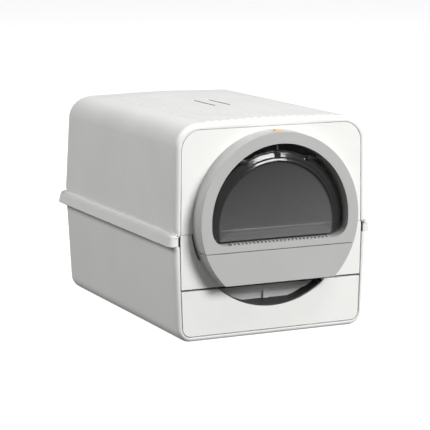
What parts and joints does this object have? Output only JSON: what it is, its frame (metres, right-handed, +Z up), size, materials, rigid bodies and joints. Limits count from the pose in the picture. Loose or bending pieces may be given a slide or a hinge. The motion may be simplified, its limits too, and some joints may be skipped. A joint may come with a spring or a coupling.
{
  "type": "hooded cat litter box",
  "caption": "Hooded cat litter box with a pull-out tray drawer, a lift-off ridged hood and a round door ring that frames a smoky swinging flap.",
  "frame": {"origin": "middle of the overall footprint, on the surface that the box stands on", "axes": "+Z up, -Y towards the door, +X to the right seen from the door"},
  "size_m": [0.4, 0.605, 0.3882],
  "materials": {
    "white_shell": "fine matte moulded",
    "white_panel": "satin moulded",
    "ring_grey": "satin moulded",
    "tread_grey": "matte",
    "inner_grey": "matte",
    "tray_grey": "satin moulded",
    "runner_white": "matte",
    "pocket_dark": "matte",
    "screw_steel": "zinc plated",
    "carbon": "felt",
    "smoke": "smoky transparent plastic",
    "pin_steel": "plain",
    "amber": "gloss"
  },
  "bodies": {
    "base": {"base_shell": "white_shell", "mid_panel": "white_panel", "lower_band": "ring_grey", "runner_left": "runner_white", "runner_right": "runner_white", "panel_screws": "screw_steel", "band_screws": "screw_steel"},
    "drawer": {"drawer_front": "white_panel", "pull_pocket": "pocket_dark", "litter_tray": "tray_grey", "drawer_screws": "screw_steel"},
    "hood": {"hood_shell": "white_shell", "hood_panel": "white_panel", "door_ring": "ring_grey", "ring_retainer": "inner_grey", "sill_tread": "tread_grey", "hinge_bushes": "inner_grey", "ring_screws": "screw_steel", "hood_screws": "screw_steel", "filter_holder": "runner_white", "carbon_filter": "carbon"},
    "flap": {"flap_pane": "smoke", "hinge_pins": "pin_steel"},
    "lock": {"lock_button": "amber", "lock_pin": "pin_steel"}
  },
  "joints": [
    {"name": "drawer_slide", "type": "slide", "parent": "base", "child": "drawer", "axis": [0, -1, 0], "range_m": [0, 0.4]},
    {"name": "hood_lift", "type": "slide", "parent": "base", "child": "hood", "axis": [0, 0, 1], "range_m": [0, 0.25]},
    {"name": "flap_swing", "type": "hinge", "parent": "hood", "child": "flap", "pos_m": [0, -0.285, 0.3145], "axis": [1, 0, 0], "range_deg": [-60, 60]},
    {"name": "lock_slide", "type": "slide", "parent": "hood", "child": "lock", "axis": [0, 0, -1], "range_m": [0, 0.008]}
  ]
}
